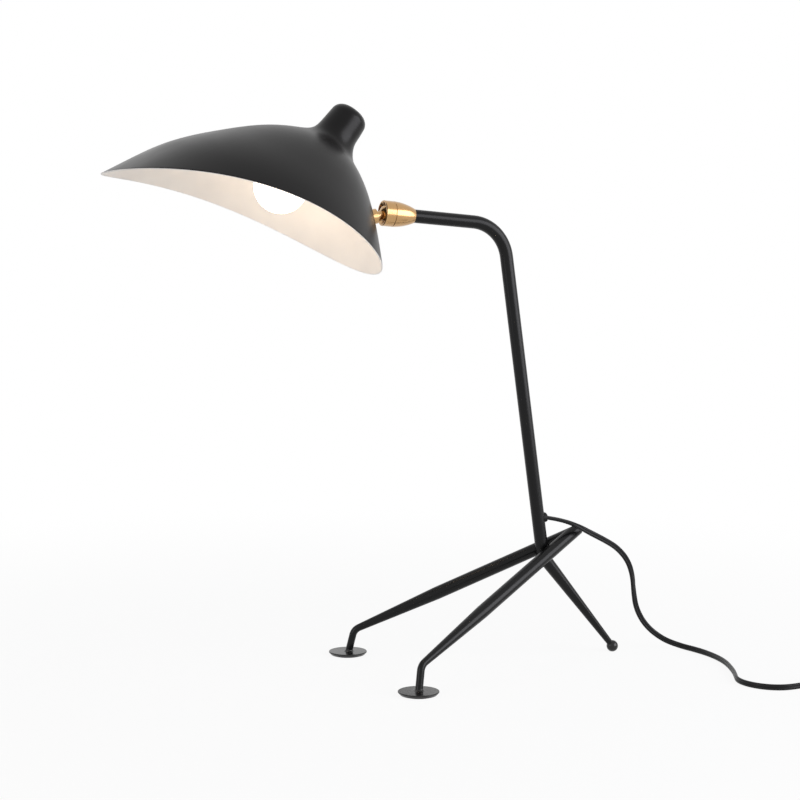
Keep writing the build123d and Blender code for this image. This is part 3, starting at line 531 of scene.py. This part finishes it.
# Turns are spread so that the columns are evenly spaced along the rim
trial_turn = np.linspace(0.0, 2 * math.pi, rim_trials)
trial_rim = shell_at(rim_share(trial_turn)[None, :], trial_turn)[0]
trial_way = np.concatenate([[0.0], np.cumsum(np.linalg.norm(np.diff(trial_rim, axis=0), axis=1))])
even = np.linspace(0.0, trial_way[-1], shade_columns, endpoint=False)
turn = np.interp(even, trial_way, trial_turn)
rows = np.linspace(0.0, 1.0, shade_rows)[:, None] * rim_share(turn)[None, :]
skin = shell_at(rows, turn)

dome = []
for angle in np.linspace(dome_start, math.pi / 2, dome_rows, endpoint=False):
    radius = nipple_radii[0] - nipple_round + nipple_round * math.sin(angle)
    ring = np.array(nipple_ring(nipple_round * (1 - math.cos(angle)), radius))
    dome.append(shade_points(ring[None, :], turn))
crown = np.array(nipple_ring(0.0, (nipple_radii[0] - nipple_round) / 2))
middle = shade_points(crown[None, :], turn)
outer = np.concatenate([np.stack([middle, *dome]), skin])
down = np.gradient(outer, axis=0)
round_way = np.roll(outer, -1, axis=1) - np.roll(outer, 1, axis=1)
outward = np.cross(down, round_way)
outward /= np.linalg.norm(outward, axis=-1, keepdims=True)
if outward[0, :, 2].mean() < 0:
    outward = -outward
inner = outer - outward * wall
rim_down = down[-1] / np.linalg.norm(down[-1], axis=-1, keepdims=True)
edge = []
for angle in np.linspace(0, math.pi, edge_rows + 2)[1:-1]:
    lean = (outer[-1] + inner[-1]) / 2 + outward[-1] * (wall / 2 * math.cos(angle))
    edge.append(lean + rim_down * (wall / 2 * math.sin(angle)))
layers = np.concatenate([outer, np.stack(edge), inner[::-1]])
layer_count = len(layers)
top = (outer[0].mean(axis=0), inner[0].mean(axis=0))
points = [tuple(point) for point in layers.reshape(-1, 3)] + [tuple(point) for point in top]
faces = []
whites = []
outer_rows = len(outer)
for row in range(layer_count - 1):
    for column in range(shade_columns):
        right = (column + 1) % shade_columns
        low = (row + 1) * shade_columns
        high = row * shade_columns
        faces.append((high + column, low + column, low + right, high + right))
        whites.append(1 if row >= outer_rows else 0)
for column in range(shade_columns):
    right = (column + 1) % shade_columns
    end = (layer_count - 1) * shade_columns
    faces.append((len(points) - 2, column, right))
    whites.append(0)
    faces.append((len(points) - 1, end + right, end + column))
    whites.append(1)
shade_mesh = bpy.data.meshes.new("shade_shell")
shade_mesh.from_pydata(points, [], faces)
shade_enamel = enamel("shade_enamel", outside_black, roughness=0.32, specular=0.18, peel=0.00005)
shade_white = enamel("shade_white", inside_white, roughness=0.5, specular=0.35, peel=0.00003)
shade_mesh.materials.append(shade_enamel)
shade_mesh.materials.append(shade_white)
for face, inside in zip(shade_mesh.polygons, whites):
    face.material_index = inside
    face.use_smooth = True
shade_shell = bpy.data.objects.new("shade_shell", shade_mesh)
scene.collection.objects.link(shade_shell)
drill_mesh = bpy.data.meshes.new("drill")
drill_way = stud.to_track_quat("Z", "Y").to_matrix().to_4x4()
drill_shape = bmesh.new()
bmesh.ops.create_cone(
    drill_shape,
    cap_ends=True,
    segments=drill_segments,
    radius1=stud_hole,
    radius2=stud_hole,
    depth=2 * drill_reach,
    matrix=Matrix.Translation(ball + stud * wall_place) @ drill_way,
)
drill_shape.to_mesh(drill_mesh)
drill_shape.free()
drill = bpy.data.objects.new("drill", drill_mesh)
scene.collection.objects.link(drill)
hole = shade_shell.modifiers.new("stud_hole", "BOOLEAN")
hole.operation = "DIFFERENCE"
hole.object = drill
bpy.context.view_layer.update()
drilled = shade_shell.evaluated_get(bpy.context.evaluated_depsgraph_get())
shade_mesh = bpy.data.meshes.new_from_object(drilled)
shade_shell.modifiers.clear()
shade_shell.data = shade_mesh
bpy.data.objects.remove(drill)
bpy.data.meshes.remove(drill_mesh)
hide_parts("shade")
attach(shade_shell, "shade")

# Lamp holder and bulb: a moulded holder on a plate inside the nipple, with a brass screw sleeve,
# and a small opal globe with an aluminium cap. The bulb is lit, with a warm filament white.
bulb_glow = 6.5
bulb_warm = (1.0, 0.78, 0.56)
bulb_pale = (1.0, 0.82, 0.62)
opal_white = (0.93, 0.92, 0.89)
opal_roughness = 0.16
cloud_scale = 60.0
cloud_detail = 2.0
bakelite_brown = (0.03, 0.029, 0.028)
flex_black = (0.008, 0.008, 0.0085)
opal = bpy.data.materials.new("opal_glass")
opal.use_nodes = True
tree = opal.node_tree
shader = tree.nodes["Principled BSDF"]
shader.inputs["Base Color"].default_value = (*opal_white, 1.0)
shader.inputs["Roughness"].default_value = opal_roughness
shader.inputs["Emission Strength"].default_value = bulb_glow
vary_colour(tree, noise_over(tree, cloud_scale, cloud_detail), bulb_warm, bulb_pale, "Emission Color")
dress(opal, "bulb_glass")
cap_aluminium = bare_steel("cap_aluminium", grey=0.72, roughness=0.32)
dress(cap_aluminium, "bulb_cap")
bakelite = moulded("holder_bakelite", bakelite_brown, roughness=0.32, grain=0.00003, grain_size=0.0005)
dress(bakelite, "holder_base", "holder_skirt")
sleeve_brass = turned_brass("sleeve_brass", arm, roughness=0.3)
dress(sleeve_brass, "holder_sleeve", "holder_contact")
dress(shade_white, "holder_plate")
flex_pvc = moulded("flex_pvc", flex_black, roughness=0.36, grain=0.00003, grain_size=0.0006)
dress(flex_pvc, "shade_lead", "inner_flex")

# Flex: black flat twin cable, two cores side by side in one sheath with a groove between them.
# It comes out of a rubber bush in the stem, drops behind the legs and runs along the board on edge.
flex_width = 0.0052
core_radius = 0.00148
core_points = 9
spline_order = 3
spline_steps = 8
bush_black = (0.006, 0.006, 0.006)
flex_route = [
    (0.1727, -0.0030, 0.1259),
    (0.1860, -0.0100, 0.1210),
    (0.2000, -0.0120, 0.1132),
    (0.2165, -0.0095, 0.1051),
    (0.2313, -0.0060, 0.0967),
    (0.2438, -0.0030, 0.0843),
    (0.2502, -0.0010, 0.0700),
    (0.2524, 0.0005, 0.0540),
    (0.2563, 0.0020, 0.0370),
    (0.2660, 0.0010, 0.0206),
    (0.2803, -0.0046, 0.0082),
    (0.2916, -0.0175, 0.0034),
    (0.2980, -0.0370, 0.0028),
    (0.2995, -0.0600, 0.0027),
    (0.2955, -0.0870, 0.0027),
    (0.2830, -0.1180, 0.0027),
    (0.2748, -0.1336, 0.0027),
    (0.2673, -0.1469, 0.0027),
    (0.2662, -0.1602, 0.0027),
    (0.2705, -0.1728, 0.0027),
    (0.2795, -0.1826, 0.0027),
    (0.2918, -0.1880, 0.0030),
]
switch_low, switch_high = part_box("switch_base")
switch_y = (switch_low.y + switch_high.y) / 2
flex_height = 0.0039
switch_lead = 0.016
mouth_depth = 0.0025
flex_start = (0.15873, 0.0, 0.1283)
bush_rubber = moulded("bush_rubber", bush_black, roughness=0.5, grain=0.00004, grain_size=0.0005)
dress(bush_rubber, "cord_grommet")


def flex_along(name, route, widthwise):
    """A flat twin cable on the route's spline, with its width turned towards the given directions."""
    line = bpy.data.curves.new(name + "_line", "CURVE")
    line.dimensions = "3D"
    line.resolution_u = spline_steps
    spline = line.splines.new("NURBS")
    spline.points.add(len(route) - 1)
    for point, where in zip(spline.points, route):
        point.co = (*where, 1.0)
    spline.order_u = spline_order
    spline.use_endpoint_u = True
    guide = bpy.data.objects.new(name + "_line", line)
    scene.collection.objects.link(guide)
    bpy.context.view_layer.update()
    shown = guide.evaluated_get(bpy.context.evaluated_depsgraph_get())
    traced = bpy.data.meshes.new_from_object(shown)
    path = np.array([vertex.co[:] for vertex in traced.vertices])
    bpy.data.meshes.remove(traced)
    bpy.data.objects.remove(guide)
    bpy.data.curves.remove(line)
    ahead = np.gradient(path, axis=0)
    ahead /= np.linalg.norm(ahead, axis=1, keepdims=True)
    way = np.concatenate([[0.0], np.cumsum(np.linalg.norm(np.diff(path, axis=0), axis=1))])
    places = [where for where, direction in widthwise]
    turned = np.array([direction for where, direction in widthwise], float)
    across = np.stack([np.interp(way, places, turned[:, axis]) for axis in range(3)], axis=1)
    across -= ahead * (across * ahead).sum(axis=1, keepdims=True)
    across /= np.linalg.norm(across, axis=1, keepdims=True)
    through = np.cross(ahead, across)
    offset = flex_width / 2 - core_radius
    waist = math.acos(offset / core_radius)
    outline = []
    for side in (1, -1):
        for angle in np.linspace(-(math.pi - waist), math.pi - waist, core_points):
            wide = side * (offset + core_radius * math.cos(angle))
            thick = side * core_radius * math.sin(angle)
            outline.append((wide, thick))
    outline = np.array(outline)
    widths = across[:, None, :] * outline[None, :, :1]
    depths = through[:, None, :] * outline[None, :, 1:]
    rings = path[:, None, :] + widths + depths
    count = len(outline)
    faces = [tuple(reversed(range(count)))]
    for ring in range(len(path) - 1):
        for corner in range(count):
            after = (corner + 1) % count
            faces.append((
                ring * count + corner,
                ring * count + after,
                (ring + 1) * count + after,
                (ring + 1) * count + corner,
            ))
    faces.append(tuple(range((len(path) - 1) * count, len(path) * count)))
    mesh = bpy.data.meshes.new(name)
    mesh.from_pydata([tuple(point) for point in rings.reshape(-1, 3)], [], faces)
    mesh.materials.append(flex_pvc)
    for face in mesh.polygons:
        face.use_smooth = len(face.vertices) == 4
    flex = bpy.data.objects.new(name, mesh)
    scene.collection.objects.link(flex)
    return flex, [tuple(point) for point in path], way[-1]


lead_turns = [
    (0.0, (0.0, 1.0, 0.2)),
    (0.02, (0.0, 1.0, 0.3)),
    (0.05, (0.5, -0.1, 0.8)),
    (0.095, (0.6, -0.2, 0.7)),
    (0.125, (0.91, 0.39, 0.13)),
    (0.155, (0.9, -0.3, 0.35)),
    (0.2, (0.62, -0.2, 0.76)),
    (0.25, (0.0, 0.0, 1.0)),
]
run_in = (switch_low.x - switch_lead, switch_y, flex_height)
mouth_in = (switch_low.x + mouth_depth, switch_y, flex_height)
lead_route = [flex_start, *flex_route, run_in, mouth_in]
flex_lead, lead_path, lead_length = flex_along("flex_lead", lead_route, lead_turns)
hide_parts("cord_lead")
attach(flex_lead, "stand")

# Plug: one black moulding on the end of the flex, with two plain steel pins. Its relief is a taper
# with rings moulded round it, so that it bends more easily towards its thin end.
plug_black = (0.012, 0.012, 0.0125)
plug_edge = 0.0008
same_point = 0.00001
edge_segments = 2
sharp_angle = math.radians(40.0)
relief_tip = 0.0042
relief_root = 0.0065
relief_rings = 6
ring_groove = 0.0007
groove_power = 3
relief_rows = 97
relief_columns = 48
plug_pvc = moulded("plug_pvc", plug_black, roughness=0.42, grain=0.00006, grain_size=0.0008)
dress(plug_pvc, "plug_body")


def soften(name, radius):
    """Round the sharp edges of a moulding, as its mould does."""
    weld = nodes[name].modifiers.new("weld", "WELD")
    weld.merge_threshold = same_point
    bevel = nodes[name].modifiers.new("soft_edges", "BEVEL")
    bevel.width = radius
    bevel.segments = edge_segments
    bevel.limit_method = "ANGLE"
    bevel.angle_limit = sharp_angle
    bevel.harden_normals = True


soften("plug_body", plug_edge)
dress(bright_steel, "plug_pins")
relief_low, relief_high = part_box("plug_relief")
relief_middle = (relief_low + relief_high) / 2
points = []
faces = [tuple(range(relief_columns))]
for share in np.linspace(0.0, 1.0, relief_rows):
    wave = (1 - math.cos(2 * math.pi * relief_rings * share)) / 2
    groove = ring_groove * wave**groove_power
    radius = relief_tip + (relief_root - relief_tip) * share - groove
    x = relief_high.x + (relief_low.x - relief_high.x) * share
    for column in range(relief_columns):
        angle = 2 * math.pi * column / relief_columns
        y = relief_middle.y + radius * math.cos(angle)
        z = relief_middle.z + radius * math.sin(angle)
        points.append((x, y, z))
for row in range(relief_rows - 1):
    for column in range(relief_columns):
        after = (column + 1) % relief_columns
        near = row * relief_columns
        far = near + relief_columns
        faces.append((near + column, far + column, far + after, near + after))
faces.append(tuple(reversed(range(len(points) - relief_columns, len(points)))))
relief_mesh = bpy.data.meshes.new("ringed_relief")
relief_mesh.from_pydata(points, [], faces)
relief_mesh.materials.append(plug_pvc)
for face in relief_mesh.polygons:
    face.use_smooth = len(face.vertices) == 4
ringed_relief = bpy.data.objects.new("ringed_relief", relief_mesh)
scene.collection.objects.link(ringed_relief)
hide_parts("plug_relief")
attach(ringed_relief, "stand")

# Spare flex: the rest of the cable, wound in and out again in two layers and held by a tie.
# The turns stand on edge beside each other, as a flat cable winds.
coil_lead = 0.034
coil_outer = 0.038
coil_turns = 3
coil_pitch = 0.0057
coil_top_height = 0.0096
coil_tail = 0.03
lead_shares = (0.35, 0.8)
lead_bow = 0.0003
tail_shares = (0.3, 0.65)
tail_bow = 0.0002
half_turn_points = 9
spline_inset = 0.25
tie_black = (0.03, 0.03, 0.031)
coil_x = switch_high.x + coil_lead
coil_inner = coil_outer - coil_turns * coil_pitch
step = math.pi / half_turn_points
# The spline cuts the corners of its route, so the points of a turn stand a little outside it
reach = 1.0 / (1 - spline_inset + spline_inset * math.cos(step))
coil_route = [
    (switch_high.x - mouth_depth, switch_y, flex_height),
    (switch_high.x + coil_lead * lead_shares[0], switch_y, flex_height),
    (switch_high.x + coil_lead * lead_shares[1], switch_y + lead_bow, flex_height),
]
halves = []
for half_turn in range(2 * coil_turns):
    halves.append((coil_outer - half_turn * coil_pitch / 2, flex_height, flex_height))
halves.append((coil_inner, flex_height, coil_top_height))
for half_turn in range(2 * coil_turns):
    halves.append((coil_inner + (half_turn + 1) * coil_pitch / 2, coil_top_height, coil_top_height))
way_y = switch_y
for index, (radius, low, high) in enumerate(halves):
    side = 1 if index % 2 == 0 else -1
    centre_y = way_y - side * radius
    for number in range(half_turn_points):
        angle = (number + 0.5) * step
        coil_route.append((
            coil_x + side * radius * reach * math.sin(angle),
            centre_y + side * radius * reach * math.cos(angle),
            low + (high - low) * (number + 0.5) / half_turn_points,
        ))
    way_y -= side * 2 * radius
coil_route.append((coil_x - coil_tail * tail_shares[0], way_y - tail_bow, coil_top_height))
coil_route.append((coil_x - coil_tail * tail_shares[1], way_y, coil_top_height))
coil_route.append((coil_x - coil_tail, way_y, coil_top_height))
flex_coil, coil_path, coil_length = flex_along("flex_coil", coil_route, [(0.0, (0.0, 0.0, 1.0))])
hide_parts("cord_coil")
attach(flex_coil, "stand")
tie_nylon = moulded("tie_nylon", tie_black, roughness=0.5, grain=0.00005, grain_size=0.0012)
dress(tie_nylon, "coil_tie")

# In-line switch: two moulded shells held by screws from below, with a glossy rocker on a steel pin.
# A brass leaf under the rocker makes the contact, and the mould leaves the shells' edges slightly round.
shell_black = (0.012, 0.012, 0.0125)
shell_edge = 0.0003
rocker_black = (0.008, 0.008, 0.0085)
leaf_way = Vector((1.0, 0.0, 0.0))
switch_shell = moulded("switch_shell", shell_black, roughness=0.38, grain=0.00005, grain_size=0.0007)
dress(switch_shell, "switch_base", "switch_cover")
soften("switch_base", shell_edge)
soften("switch_cover", shell_edge)
rocker_gloss = moulded(
    "rocker_gloss",
    rocker_black,
    roughness=0.2,
    grain=0.00001,
    grain_size=0.002,
    specular=0.4,
)
dress(rocker_gloss, "switch_rocker")
dress(bright_steel, "switch_pivot", "switch_screws")
leaf_brass = turned_brass("leaf_brass", leaf_way, roughness=0.3)
dress(leaf_brass, "switch_contact")

low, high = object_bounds()
